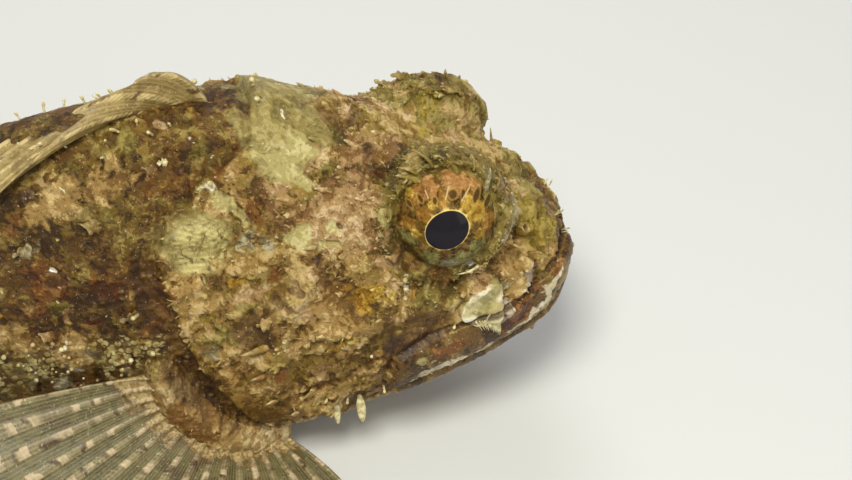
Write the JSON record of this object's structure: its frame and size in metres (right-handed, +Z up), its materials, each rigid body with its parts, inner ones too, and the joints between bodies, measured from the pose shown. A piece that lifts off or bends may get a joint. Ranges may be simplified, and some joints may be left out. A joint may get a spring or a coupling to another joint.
{
  "type": "scorpionfish model",
  "caption": "Life-size still model of a small black scorpionfish resting on its belly, with spread fins, head spines and skin flaps.",
  "frame": {"origin": "on the floor under the middle of the fish's overall box", "axes": "+X towards the snout, +Y to the fish's left, +Z up; the belly rests on the plane Z = 0"},
  "size_m": [0.1712, 0.11, 0.0561],
  "materials": {
    "mottled_skin": "rough warty skin, brown and ochre",
    "fin_membrane": "thin banded fin skin over rays",
    "eye": "wet, glossy"
  },
  "bodies": {
    "root": {"head": "mottled_skin", "lower_jaw": "mottled_skin", "trunk": "mottled_skin", "tail": "mottled_skin", "eye_left": "eye", "eye_right": "eye", "dorsal_fin_spiny": "fin_membrane", "dorsal_fin_soft": "fin_membrane", "anal_fin": "fin_membrane", "caudal_fin": "fin_membrane", "pectoral_fin_left": "fin_membrane", "pectoral_fin_right": "fin_membrane", "pelvic_fin_left": "fin_membrane", "pelvic_fin_right": "fin_membrane"}
  },
  "joints": []
}
